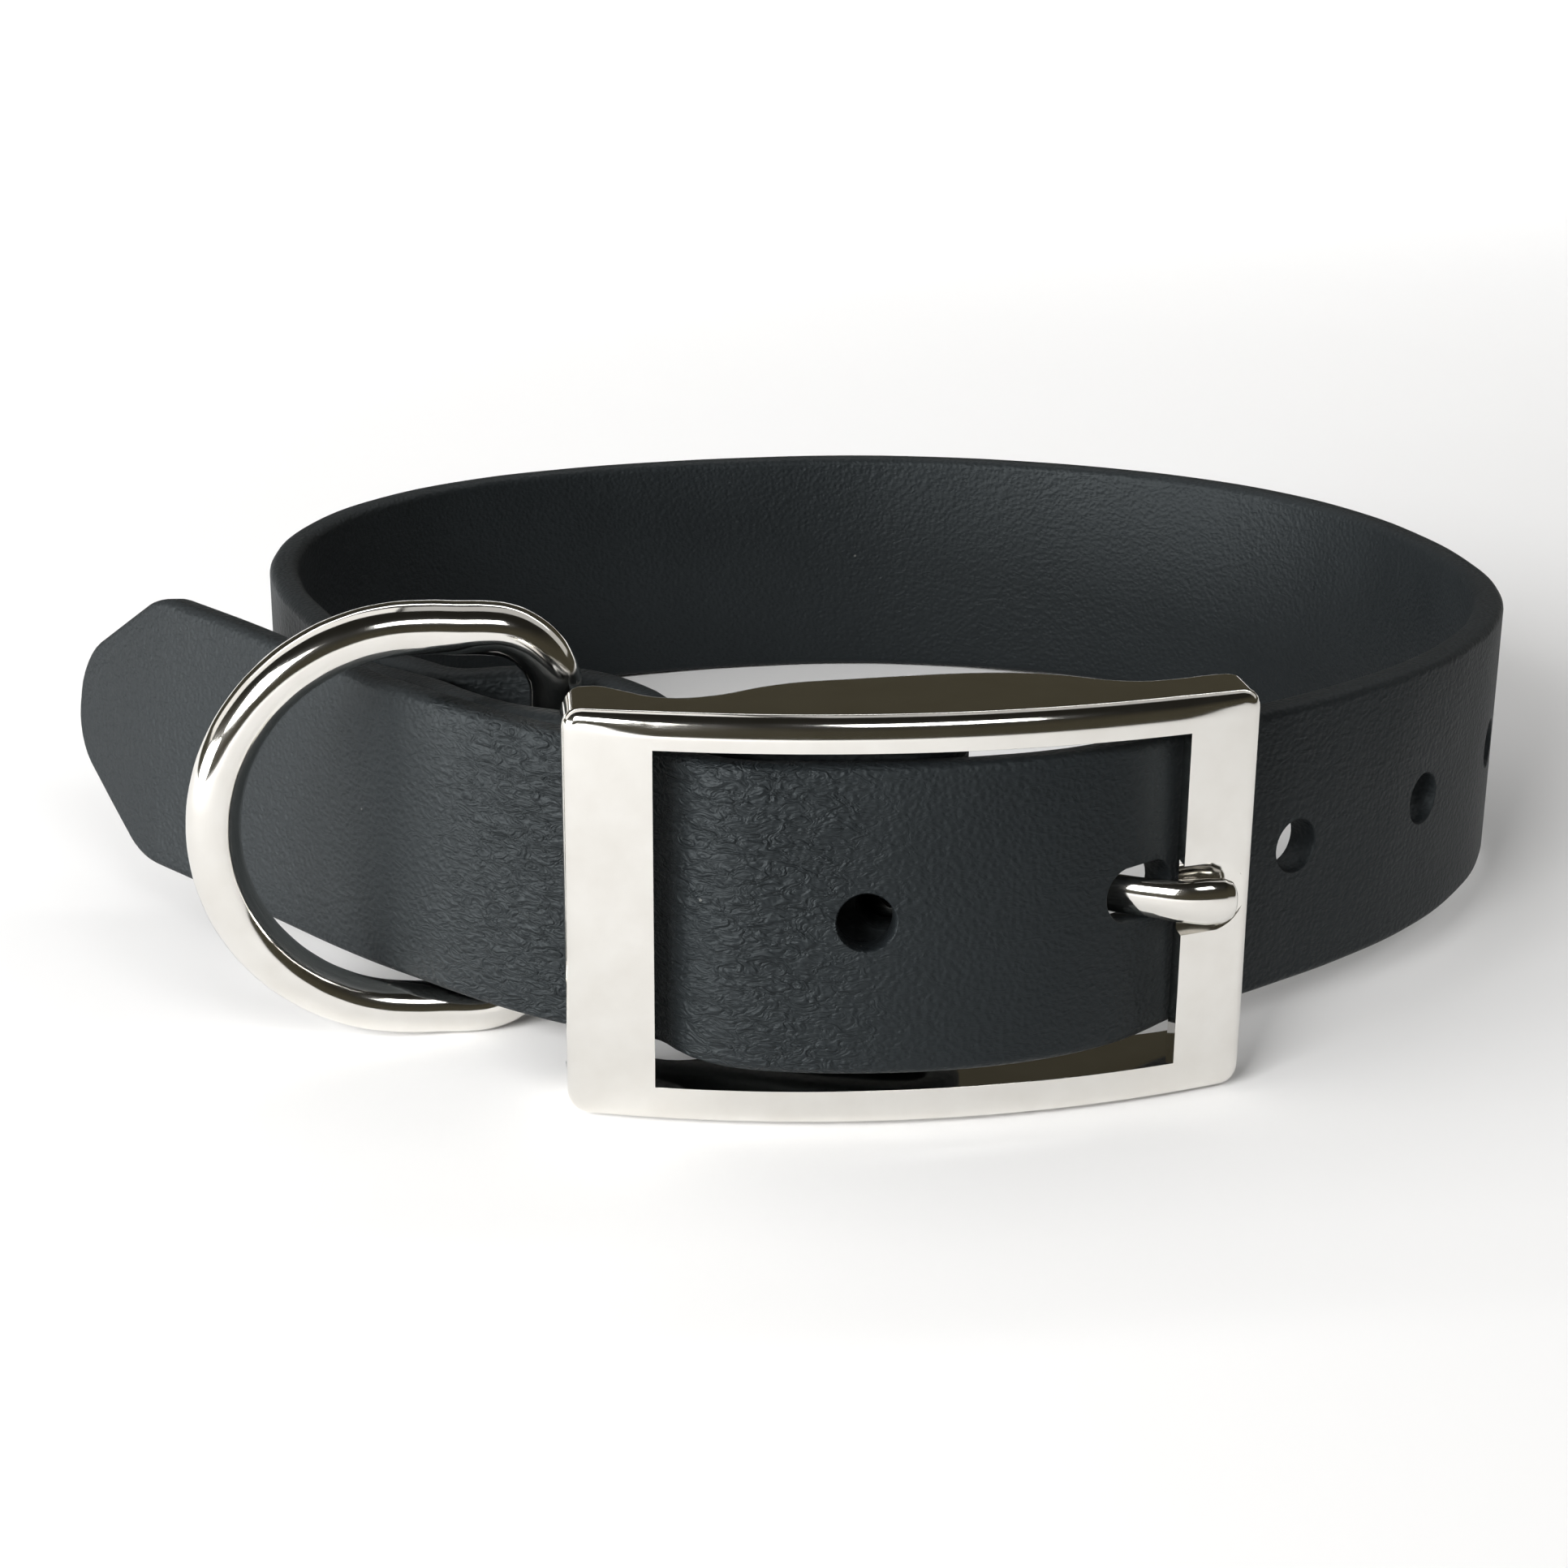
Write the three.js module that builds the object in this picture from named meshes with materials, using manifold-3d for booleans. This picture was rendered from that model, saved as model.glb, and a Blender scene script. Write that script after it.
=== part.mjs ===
// Dog collar: one coated strap, buckled into a loop, with a bowed metal buckle,
// its tongue, a wire D-ring and two hidden rivets. Millimetres, +Z up.
// Everything is laid out with the strap's lower edge at height zero and the buckle's
// front corners on y = 0; at the end the whole collar is tipped onto its three feet.
import * as THREE from "three";
import Module from "manifold-3d";

const wasm = await Module();
wasm.setup();

// Driving sizes
const strapWidth = 25;
const strapThick = 2.8;
const strapChamfer = 0.7;
const gap = 0.35;
const loopWidth = 119.4;
const loopDepth = 111.6;
const holeWidth = 4.6;

const buckle = {
  width: 55.6,
  drop: 5.2,
  rail: 2.9,
  lowerRail: 3.0,
  headroom: 1.1,
  bow: 4.6,
  plate: 2.3,
  leftBar: 6.9,
  rightBar: 6.2,
  cheek: 7.6,
  edge: 0.9,
  corner: 0.6,
};
const half = buckle.width / 2;
const frame = {
  left: -half + buckle.leftBar,
  right: half - buckle.rightBar,
  bottom: -buckle.drop,
  low: -buckle.drop + buckle.lowerRail,
  high: strapWidth + buckle.headroom,
  top: strapWidth + buckle.headroom + buckle.rail,
};
const tipUp = Math.atan(buckle.drop / (loopDepth - buckle.cheek));
const bar = { x: 0, inset: 1.3, radius: 1.8 };
bar.y = buckle.cheek - bar.inset - bar.radius;
const tongue = { thick: 1.9, width: 3.5, below: 0.5 };
tongue.height = strapWidth / 2 - tongue.below;
const rivet = { shank: 2.0, head: 3.4, headThick: 0.6 };

// The ring's place is its straight bar's middle, beside the buckle's left end and behind
// the free end and the fold's front layer; its height comes from the floor.
const ring = { beside: 0.4, set: 7.75, wire: 2.25, play: 2.0, leg: 11.2, corner: 6.0 };
ring.x = -half - ring.beside;
ring.y = 2 * strapThick + ring.play + ring.wire + ring.set;
ring.half = strapWidth / 2 + ring.play + ring.wire;
const ringSwing = THREE.MathUtils.degToRad(6.5);
const ringRise = THREE.MathUtils.degToRad(4);

// How far the strap must climb to pass over the ring's lower leg, which is on the floor.
const legRoom = (buckle.drop * (loopDepth - ring.y)) / (loopDepth - buckle.cheek);
const climb = Math.max(2 * ring.wire + 2 * gap - legRoom, 0);

// How the buckled strap lies in front: its free end runs past the buckle's left end and
// flares inwards, leaning and rising; it bulges out of the window, clear of the fold on
// the centre bar, and tucks in behind the two side bars.
const tipRise = 1.2;
const freeEnd = { reach: 44.2, flare: 56.0, lean: 4.0, rise: climb + tipRise };
const windowLean = 3.0;
const windowSlack = 0.85;
const tuckSlack = 2.0;
const bulge = 2 * strapThick + bar.radius + gap + windowLean / 2 + windowSlack - bar.y;
const tuck = buckle.plate + tuckSlack;

// The free end's outer face from its tip to the buckle, as shares of those four sizes.
const freeFace = [
  { reach: 1, flare: 1, lean: 1, rise: 1 },
  { reach: 0.81, flare: 0.793, lean: 0.95, rise: 0.94 },
  { reach: 0.672, flare: 0.654, lean: 0.8, rise: 0.87 },
  { reach: 0.52, flare: 0.495, lean: 0.6, rise: 0.75 },
  { reach: 0.373, flare: 0.35, lean: 0.4, rise: 0.62 },
  { reach: 0.253, flare: 0.254, lean: 0.3, rise: 0.5 },
  { reach: 0.136, flare: 0.171, lean: 0.2, rise: 0.31 },
  { reach: 0.018, flare: 0.105, lean: 0.125, rise: 0.125 },
];

// The outer face across the buckle: x as a share of half the buckle's width, y as a
// share of the bulge where it is in front and of the tuck where it is behind.
const windowFace = [
  { x: -0.878, tuck: 0.884, lean: 0.07 },
  { x: -0.741, tuck: 0.419, lean: 0.07 },
  { x: -0.64, bulge: 0.339, lean: 0.27 },
  { x: -0.532, bulge: 0.679, lean: 0.47 },
  { x: -0.388, bulge: 0.857, lean: 0.73 },
  { x: -0.18, bulge: 0.982, lean: 0.93 },
  { x: 0.047, bulge: 1, lean: 1 },
  { x: 0.237, bulge: 0.911, lean: 0.9 },
  { x: 0.396, bulge: 0.75, lean: 0.73 },
  { x: 0.522, bulge: 0.536, lean: 0.6 },
  { x: 0.655, bulge: 0.196, lean: 0.4 },
  { x: 0.788, tuck: 0.372, lean: 0.27 },
  { x: 0.953, tuck: 1, lean: 0.17 },
];

// The rest of the loop's outer face as shares of its width and depth.
const loopFace = [
  [0.283, 0.075],
  [0.339, 0.113],
  [0.405, 0.168],
  [0.465, 0.237],
  [0.512, 0.315],
  [0.541, 0.4],
  [0.55, 0.491],
  [0.542, 0.593],
  [0.516, 0.694],
  [0.47, 0.784],
  [0.406, 0.858],
  [0.332, 0.914],
  [0.252, 0.956],
  [0.169, 0.985],
  [0.082, 1.0],
  [-0.008, 0.998],
  [-0.099, 0.985],
  [-0.193, 0.959],
  [-0.289, 0.912],
  [-0.371, 0.836],
  [-0.426, 0.736],
  [-0.45, 0.62],
  [-0.443, 0.511],
  [-0.418, 0.41],
];

// Middle line of the folded end in two stretches that meet at the ring's bar: inner rows
// are shares of the way from the centre bar, outer rows of the way on to the fold's end.
// open is how far the two layers part, from 0 where they close to 1 round the ring's bar.
// The fold's end lies beside the free end, with a rivet's head and foldClear between them.
const foldClear = 0.4;
const onFreeFace = (row) =>
  new THREE.Vector2(-half - row.reach * freeEnd.reach, row.flare * freeEnd.flare);
const [, , , pastRivet, besideRivet] = freeFace.map(onFreeFace);
const alongFree = pastRivet.clone().sub(besideRivet).normalize();
const fromFree = strapThick + foldClear + rivet.headThick + gap + strapThick / 2 + foldHalf(0);
const foldEnd = {
  x: pastRivet.x + alongFree.y * fromFree,
  y: pastRivet.y - alongFree.x * fromFree,
};
const foldOuter = [
  { x: 1, y: 1, open: 0 },
  { x: 0.756, y: 0.707, open: 0 },
  { x: 0.512, y: 0.427, open: 0.03 },
  { x: 0.267, y: 0.227, open: 0.65 },
];
const foldInner = [
  { x: 1, y: 1, open: 1 },
  { x: 0.83, y: 0.718, open: 0.7 },
  { x: 0.652, y: 0.397, open: 0.04 },
  { x: 0.482, y: 0.221, open: 0 },
  { x: 0.312, y: 0.061, open: 0.02 },
];
const between = (from, to) => (row) => [
  THREE.MathUtils.lerp(from.x, to.x, row.x),
  THREE.MathUtils.lerp(from.y, to.y, row.y),
  row.open,
];
const foldLine = [...foldOuter.map(between(ring, foldEnd)), ...foldInner.map(between(bar, ring))];
const rivetAt = { rivet_beyond_ring: foldLine[1], rivet_near_buckle: foldLine[7] };

// Punched holes by their x on the strap's outer face, tip side first. The tongue has
// stretched its own along the strap.
const holeStretch = 2.4;
const holes = [
  { x: -0.165 * half, length: holeWidth },
  { x: 0.665 * half, length: holeWidth + holeStretch },
  { x: 0.286 * loopWidth, length: holeWidth },
  { x: 0.411 * loopWidth, length: holeWidth },
  { x: 0.508 * loopWidth, length: holeWidth },
];

// Small helpers: closed meshes from rings of points, and solid joins and cuts.
const v2 = (x, y) => new THREE.Vector2(x, y);
const v3 = (x, y, z) => new THREE.Vector3(x, y, z);

function loft(rings, closed = false) {
  const count = rings[0].length;
  const positions = rings.flat().flatMap((p) => [p.x, p.y, p.z]);
  const index = [];
  const spans = closed ? rings.length : rings.length - 1;
  for (let i = 0; i < spans; i++) {
    const here = i * count;
    const next = ((i + 1) % rings.length) * count;
    for (let j = 0; j < count; j++) {
      const k = (j + 1) % count;
      index.push(here + j, here + k, next + k);
      index.push(here + j, next + k, next + j);
    }
  }
  if (!closed) {
    const last = (rings.length - 1) * count;
    for (let j = 1; j < count - 1; j++) {
      index.push(0, j + 1, j);
      index.push(last, last + j, last + j + 1);
    }
  }
  const geometry = new THREE.BufferGeometry();
  geometry.setAttribute("position", new THREE.Float32BufferAttribute(positions, 3));
  geometry.setIndex(index);
  return geometry;
}

function welded(geometry) {
  const plain = geometry.index ? geometry.toNonIndexed() : geometry.clone();
  const positions = plain.getAttribute("position");
  const seen = new Map();
  const properties = [];
  const triangles = [];
  for (let i = 0; i < positions.count; i++) {
    const point = [positions.getX(i), positions.getY(i), positions.getZ(i)];
    const key = point.map((value) => Math.round(value * 1e5)).join(",");
    if (!seen.has(key)) {
      seen.set(key, seen.size);
      properties.push(...point);
    }
    triangles.push(seen.get(key));
  }
  return { properties, triangles };
}

function signedVolume(properties, triangles) {
  let sum = 0;
  const corner = (i) => v3(...properties.slice(3 * i, 3 * i + 3));
  for (let i = 0; i < triangles.length; i += 3) {
    const [a, b, c] = [0, 1, 2].map((k) => corner(triangles[i + k]));
    sum += a.dot(b.cross(c)) / 6;
  }
  return sum;
}

function solid(geometry) {
  const { properties, triangles } = welded(geometry);
  if (signedVolume(properties, triangles) < 0) {
    for (let i = 0; i < triangles.length; i += 3) {
      [triangles[i + 1], triangles[i + 2]] = [triangles[i + 2], triangles[i + 1]];
    }
  }
  const mesh = new wasm.Mesh({
    numProp: 3,
    vertProperties: new Float32Array(properties),
    triVerts: new Uint32Array(triangles),
  });
  return new wasm.Manifold(mesh);
}

function geometryOf(body) {
  const mesh = body.getMesh();
  const geometry = new THREE.BufferGeometry();
  const stride = mesh.numProp;
  const positions = [];
  for (let i = 0; i < mesh.vertProperties.length; i += stride) {
    positions.push(...mesh.vertProperties.slice(i, i + 3));
  }
  geometry.setAttribute("position", new THREE.Float32BufferAttribute(positions, 3));
  geometry.setIndex([...mesh.triVerts]);
  geometry.computeVertexNormals();
  return geometry;
}

function prism(outline, low, high, bevel = 0) {
  const shape = new THREE.Shape(outline);
  const geometry = new THREE.ExtrudeGeometry(shape, {
    depth: high - low - 2 * bevel,
    bevelEnabled: bevel > 0,
    bevelSize: bevel,
    bevelThickness: bevel,
    bevelOffset: -bevel,
    bevelSegments: 2,
    steps: 1,
  });
  geometry.translate(0, 0, low + bevel);
  return solid(geometry);
}

function cylinder(radius, length, centre, direction, sides = 20) {
  const geometry = new THREE.CylinderGeometry(radius, radius, length, sides);
  const turn = new THREE.Quaternion().setFromUnitVectors(v3(0, 1, 0), direction.clone().normalize());
  geometry.applyQuaternion(turn);
  geometry.translate(centre.x, centre.y, centre.z);
  return solid(geometry);
}

function spline(rows) {
  const points = rows.map(([x, y]) => v3(x, y, 0));
  return new THREE.CatmullRomCurve3(points, false, "centripetal");
}

// A row of values carried along with a spline's stations, smoothed between them.
function carried(rows, column, u) {
  const place = u * (rows.length - 1);
  const i = Math.min(Math.floor(place), rows.length - 2);
  return THREE.MathUtils.lerp(rows[i][column], rows[i + 1][column], place - i);
}

// Points, runs and inward normals of a plan curve; "inwards" is to the left of its run.
function walk(rows, perSpan) {
  const curve = spline(rows);
  const steps = (rows.length - 1) * perSpan;
  return Array.from({ length: steps + 1 }, (_, i) => {
    const u = i / steps;
    const run = curve.getTangent(u);
    return {
      point: curve.getPoint(u),
      run,
      inward: v3(-run.y, run.x, 0),
      value: carried(rows, 2, u),
      rise: rows[0].length > 3 ? carried(rows, 3, u) : 0,
    };
  });
}

const outerFace = [
  ...freeFace.map((row) => [
    -half - row.reach * freeEnd.reach,
    row.flare * freeEnd.flare,
    row.lean * freeEnd.lean,
    row.rise * freeEnd.rise,
  ]),
  ...windowFace.map((row) => [
    row.x * half,
    "tuck" in row ? row.tuck * tuck : -row.bulge * bulge,
    row.lean * windowLean,
    0,
  ]),
  ...loopFace.map(([x, y]) => [x * loopWidth, y * loopDepth, 0, 0]),
];

// Half the distance between the middles of the fold's two layers.
function foldHalf(open) {
  const closed = strapThick / 2 + gap;
  const roundRing = ring.wire + ring.play + strapThick / 2;
  return THREE.MathUtils.lerp(closed, roundRing, open);
}

// The strap: one route of its middle surface, tip first, then the fold round the bar.
function strapRoute() {
  const outer = walk(outerFace, 1).map((s) => [
    s.point.x + (s.inward.x * strapThick) / 2,
    s.point.y + (s.inward.y * strapThick) / 2,
    s.value,
    s.rise,
  ]);
  const fold = walk(foldLine, 1);
  const layer = (side) => fold.map((s) => {
    const shift = side * foldHalf(s.value);
    const { x, y } = s.point;
    return [x + s.inward.x * shift, y + s.inward.y * shift, 0, s.value * climb];
  });
  const turnRadius = bar.radius + gap + strapThick / 2;
  const turns = 10;
  const turn = Array.from({ length: turns + 1 }, (_, i) => {
    const angle = Math.PI / 2 - (Math.PI * i) / turns;
    return [bar.x + turnRadius * Math.cos(angle), bar.y + turnRadius * Math.sin(angle), 0, 0];
  });
  const rows = [...outer, ...layer(1), ...turn, ...layer(-1).reverse()];
  return walk(rows, 3).map((s) => ({ point: s.point, lean: s.value, rise: s.rise }));
}

// The strap's end: a blunt point with soft shoulders, as shares of its length along the
// strap and of the full width.
const tipLength = 15;
const tipShape = [
  { along: 0, share: 0.16 },
  { along: 0.053, share: 0.32 },
  { along: 0.16, share: 0.46 },
  { along: 0.68, share: 0.86 },
  { along: 0.84, share: 0.96 },
  { along: 1, share: 1 },
];

function halfWidthAt(reach) {
  const full = strapWidth / 2;
  for (let i = 1; i < tipShape.length; i++) {
    const [a, b] = [tipShape[i - 1], tipShape[i]];
    if (reach < b.along * tipLength) {
      const part = (reach / tipLength - a.along) / (b.along - a.along);
      return full * THREE.MathUtils.lerp(a.share, b.share, part);
    }
  }
  return full;
}

function strapSection(station, inward, halfWidth) {
  const h = strapThick / 2;
  const c = strapChamfer;
  const corners = [
    [-h, -halfWidth + c], [-h + c, -halfWidth], [h - c, -halfWidth], [h, -halfWidth + c],
    [h, halfWidth - c], [h - c, halfWidth], [-h + c, halfWidth], [-h, halfWidth - c],
  ];
  return corners.map(([across, up]) => {
    const shift = across + (station.lean * up) / strapWidth;
    return v3(
      station.point.x + inward.x * shift,
      station.point.y + inward.y * shift,
      strapWidth / 2 + station.rise + up,
    );
  });
}

function buildStrap() {
  const route = densified(strapRoute());
  let reach = 0;
  const rings = route.map((station, i) => {
    const before = route[Math.max(i - 1, 0)].point;
    const after = route[Math.min(i + 1, route.length - 1)].point;
    const run = after.clone().sub(before).normalize();
    if (i > 0) reach += station.point.distanceTo(before);
    return strapSection(station, v3(-run.y, run.x, 0), halfWidthAt(reach));
  });
  let body = solid(loft(rings));
  for (const cutter of strapCutters()) body = body.subtract(cutter);
  return body;
}

// Extra stations where the blunt point changes fastest.
function densified(route) {
  const curve = new THREE.CatmullRomCurve3(route.slice(0, 12).map((s) => s.point));
  const length = curve.getLength();
  const tip = tipShape.map((row) => ({
    point: curve.getPointAt((row.along * tipLength) / length),
    lean: route[0].lean,
    rise: route[0].rise,
  }));
  let walked = 0;
  const rest = route.filter((station, i) => {
    if (i > 0) walked += station.point.distanceTo(route[i - 1].point);
    return walked > 1.07 * tipLength;
  });
  return [...tip, ...rest];
}

// Round punch, or a round-ended slot where the tongue has stretched its hole.
function punch(station, length) {
  const direction = station.inward;
  const centre = station.point.clone().addScaledVector(direction, strapThick / 2);
  centre.z = strapWidth / 2;
  const depth = 3 * strapThick;
  const spread = (length - holeWidth) / 2;
  const ends = [-spread, spread].map((shift) =>
    cylinder(holeWidth / 2, depth, centre.clone().addScaledVector(station.run, shift), direction),
  );
  if (spread === 0) return ends[0];
  return wasm.Manifold.hull(ends);
}

// The slot in the fold runs a little past the tongue's turn.
const slotEase = 1;

function strapCutters() {
  const stations = walk(outerFace, 24).filter((s) => s.point.y < loopDepth / 3);
  const near = (x) =>
    stations.reduce((a, b) => (Math.abs(b.point.x - x) < Math.abs(a.point.x - x) ? b : a));
  const punched = holes.map((hole) => punch(near(hole.x), hole.length));
  const slotRadius = bar.radius + 2 * gap + tongue.thick + slotEase;
  const slotHalf = tongue.width / 2 + gap;
  const slot = cylinder(
    slotRadius, 2 * slotHalf, v3(bar.x, bar.y, tongue.height), v3(0, 0, 1), 24,
  );
  const shankHoles = Object.values(rivetAt).map((row) => {
    const place = rivetPlace(row);
    return cylinder(rivet.shank + gap, 4 * strapThick, place.centre, place.direction);
  });
  return [...punched, slot, ...shankHoles];
}

// The rivets: plain posts with low heads, flat to the two layers they hold.
function rivetPlace(row) {
  const s = walk(foldLine, 1)[foldLine.indexOf(row)];
  return { centre: v3(s.point.x, s.point.y, strapWidth / 2), direction: s.inward };
}

function buildRivet(row) {
  const place = rivetPlace(row);
  const faceOut = foldHalf(0) + strapThick / 2 + gap;
  const shank = cylinder(rivet.shank, 2 * faceOut + rivet.headThick, place.centre, place.direction);
  const heads = [-1, 1].map((side) => {
    const reach = side * (faceOut + rivet.headThick / 2);
    const centre = place.centre.clone().addScaledVector(place.direction, reach);
    return cylinder(rivet.head, rivet.headThick, centre, place.direction, 24);
  });
  return shank.add(heads[0]).add(heads[1]);
}

// The buckle frame: a bowed plate with a window, deep cheek rails above and below
// whose back edges dip either side of the stretch that carries the centre bar.
function bowAt(x) {
  return -buckle.bow * (1 - (x / half) ** 2);
}

// The rails' back edge, left to right: x as a share of half the buckle's width, and y as
// a share of the cheek's depth.
const railBack = [
  [-1, 0.58],
  [-0.95, 0.88],
  [-0.88, 0.9],
  [-0.81, 0.68],
  [-0.74, 0.47],
  [-0.655, 0.39],
  [-0.54, 0.48],
  [-0.42, 0.71],
  [-0.31, 0.84],
  [-0.14, 0.91],
  [0.14, 1],
  [0.32, 0.97],
  [0.46, 0.83],
  [0.57, 0.62],
  [0.67, 0.53],
  [0.78, 0.58],
  [0.9, 0.7],
  [0.97, 0.7],
  [1, 0.6],
];

function frameOutline() {
  const { corner } = buckle;
  const steps = 24;
  const front = Array.from({ length: steps + 1 }, (_, i) => {
    const x = -half + corner + (2 * (half - corner) * i) / steps;
    return v2(x, bowAt(x));
  });
  const back = railBack.map(([x, y]) => v2(x * half, y * buckle.cheek)).reverse();
  return [v2(-half, corner), ...front, v2(half, corner), ...back];
}

// Everything behind the bowed plate, wider and deeper than the frame.
function behindPlate() {
  const side = 1.1 * half;
  const deep = 3 * buckle.cheek;
  const steps = 20;
  const face = Array.from({ length: steps + 1 }, (_, i) => {
    const x = -side + (2 * side * i) / steps;
    return v2(x, bowAt(x) + buckle.plate);
  });
  return [...face, v2(side, deep), v2(-side, deep)];
}

function buildFrame() {
  const { left, right, bottom, low, high, top } = frame;
  const rounded = prism(frameOutline(), bottom, top, buckle.edge);
  const behind = prism(behindPlate(), low, high);
  const [near, deep] = [-2 * buckle.bow, 3 * buckle.cheek];
  const opening = [v2(left, near), v2(right, near), v2(right, deep), v2(left, deep)];
  const window = prism(opening, low, high);
  const barMiddle = v3(bar.x, bar.y, (high + low) / 2);
  const post = cylinder(bar.radius, high - low + buckle.rail / 2, barMiddle, v3(0, 0, 1));
  return rounded.subtract(behind).subtract(window).add(post).subtract(notchCutter());
}

// The round-ended rest for the tongue's tip, sunk into the right bar's face.
const notch = { inset: 0.6, play: 1.0, depth: 1.5, ease: 0.8 };
notch.end = half - notch.inset;
notch.half = 0.57 * tongue.width + notch.play;
notch.floor = bowAt(frame.right) + notch.depth;

function notchCutter() {
  const { end, half: wide, floor } = notch;
  const front = -2 * buckle.bow;
  const direction = v3(0, 1, 0);
  const depth = floor - front;
  const round = (x) =>
    cylinder(wide, depth, v3(x, front + depth / 2, tongue.height), direction, 24);
  return wasm.Manifold.hull([round(end - wide), round(frame.right - wide)]);
}

// The tongue: bent round the centre bar, straight behind the strap, out through the
// strap's hole and into its rest; flat oval in section, broader at the tip. Each row is
// how far along, how far out, and the shares of its width and thickness.
const tongueTurn = bar.radius + gap + tongue.thick / 2;
const tongueEnd = notch.end - notch.ease;
const tongueRest = notch.floor - 0.75 * tongue.thick - gap;
const tongueRun = [
  { along: 0.129, out: 0, widthShare: 1, thickShare: 1 },
  { along: 0.322, out: -0.03, widthShare: 1, thickShare: 1 },
  { along: 0.492, out: -0.03, widthShare: 0.91, thickShare: 1 },
  { along: 0.621, out: 0.18, widthShare: 0.86, thickShare: 1 },
  { along: 0.727, out: 0.59, widthShare: 0.89, thickShare: 1 },
  { along: 0.826, out: 0.93, widthShare: 0.97, thickShare: 1.1 },
  { along: 0.917, out: 1, widthShare: 1.14, thickShare: 1.2 },
  { along: 0.973, out: 0.96, widthShare: 1.03, thickShare: 1.1 },
  { along: 1, out: 0.93, widthShare: 0.57, thickShare: 0.63 },
];

function buildTongue() {
  const turns = 14;
  const startAngle = THREE.MathUtils.degToRad(8);
  const sweep = THREE.MathUtils.degToRad(262);
  const stations = Array.from({ length: turns + 1 }, (_, i) => {
    const angle = startAngle + (sweep * i) / turns;
    return {
      point: v3(bar.x + tongueTurn * Math.cos(angle), bar.y + tongueTurn * Math.sin(angle), 0),
      width: tongue.width,
      thick: tongue.thick,
    };
  });
  const shaft = new THREE.CatmullRomCurve3(
    tongueRun.map((row) => {
      const y = THREE.MathUtils.lerp(bar.y - tongueTurn, tongueRest, row.out);
      return v3(row.along * tongueEnd, y, 0);
    }),
  );
  const steps = (tongueRun.length - 1) * 3;
  for (let i = 0; i <= steps; i++) {
    const place = (i / steps) * (tongueRun.length - 1);
    const k = Math.min(Math.floor(place), tongueRun.length - 2);
    const mix = (name) => THREE.MathUtils.lerp(tongueRun[k][name], tongueRun[k + 1][name], place - k);
    stations.push({
      point: shaft.getPoint(i / steps),
      width: tongue.width * mix("widthShare"),
      thick: tongue.thick * mix("thickShare"),
    });
  }
  const sides = 12;
  const rings = stations.map((station, i) => {
    const before = stations[Math.max(i - 1, 0)].point;
    const after = stations[Math.min(i + 1, stations.length - 1)].point;
    const run = after.clone().sub(before).normalize();
    const across = v3(-run.y, run.x, 0);
    return Array.from({ length: sides }, (_, j) => {
      const angle = (2 * Math.PI * j) / sides;
      const ring = station.point.clone();
      ring.addScaledVector(across, (Math.cos(angle) * station.thick) / 2);
      ring.z = tongue.height + (Math.sin(angle) * station.width) / 2;
      return ring;
    });
  });
  return solid(loft(rings));
}

// The D-ring: round wire, a straight bar in the fold, rounded corners, two short legs
// and a half-round; it stands out from the strap and rises a little towards its arc.
function ringCentreLine() {
  const { leg, corner } = ring;
  const arcSteps = 28;
  const cornerSteps = 6;
  const upper = [];
  for (let i = 0; i <= cornerSteps; i++) {
    const angle = Math.PI - (Math.PI / 2) * (i / cornerSteps);
    upper.push([corner + corner * Math.cos(angle), ring.half - corner + corner * Math.sin(angle)]);
  }
  const arc = [];
  for (let i = 0; i <= arcSteps; i++) {
    const angle = Math.PI / 2 - (Math.PI * i) / arcSteps;
    arc.push([leg + ring.half * Math.cos(angle), ring.half * Math.sin(angle)]);
  }
  const lower = upper.map(([out, up]) => [out, -up]).reverse();
  return [...upper, ...arc, ...lower];
}

function buildRing() {
  const sides = 14;
  const line = ringCentreLine();
  const outward = v3(-Math.cos(ringSwing), -Math.sin(ringSwing), 0);
  const up = v3(0, 0, 1);
  const flat = outward.clone().cross(up).normalize();
  const place = ([out, high]) => {
    const o = out * Math.cos(ringRise) - high * Math.sin(ringRise);
    const h = out * Math.sin(ringRise) + high * Math.cos(ringRise);
    return v3(ring.x, ring.y, 0).addScaledVector(outward, o).addScaledVector(up, h);
  };
  const floor = (y) => -(loopDepth - y) * Math.tan(tipUp);
  const over = Math.min(...line.map(place).map((p) => p.z - ring.wire / Math.cos(tipUp) - floor(p.y)));
  const points = line.map(place).map((p) => p.setZ(p.z - over));
  const rings = points.map((point, i) => {
    const before = points[(i + points.length - 1) % points.length];
    const after = points[(i + 1) % points.length];
    const run = after.clone().sub(before).normalize();
    const across = run.clone().cross(flat).normalize();
    return Array.from({ length: sides }, (_, j) => {
      const angle = (2 * Math.PI * j) / sides;
      return point
        .clone()
        .addScaledVector(across, ring.wire * Math.cos(angle))
        .addScaledVector(flat, ring.wire * Math.sin(angle));
    });
  });
  return solid(loft(rings, true));
}

// Materials and the named pieces
const coated = new THREE.MeshStandardMaterial({ color: 0x23282b, roughness: 0.55, metalness: 0 });
const plated = new THREE.MeshStandardMaterial({ color: 0xd9d6d0, roughness: 0.12, metalness: 1 });

const collar = new THREE.Group();
collar.name = "dog_collar";

const pieces = {
  strap: [buildStrap(), coated],
  buckle_frame: [buildFrame(), plated],
  buckle_tongue: [buildTongue(), plated],
  d_ring: [buildRing(), plated],
};
for (const [name, row] of Object.entries(rivetAt)) pieces[name] = [buildRivet(row), plated];
for (const [name, [body, material]] of Object.entries(pieces)) {
  const mesh = new THREE.Mesh(geometryOf(body), material);
  mesh.name = name;
  collar.add(mesh);
}

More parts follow.
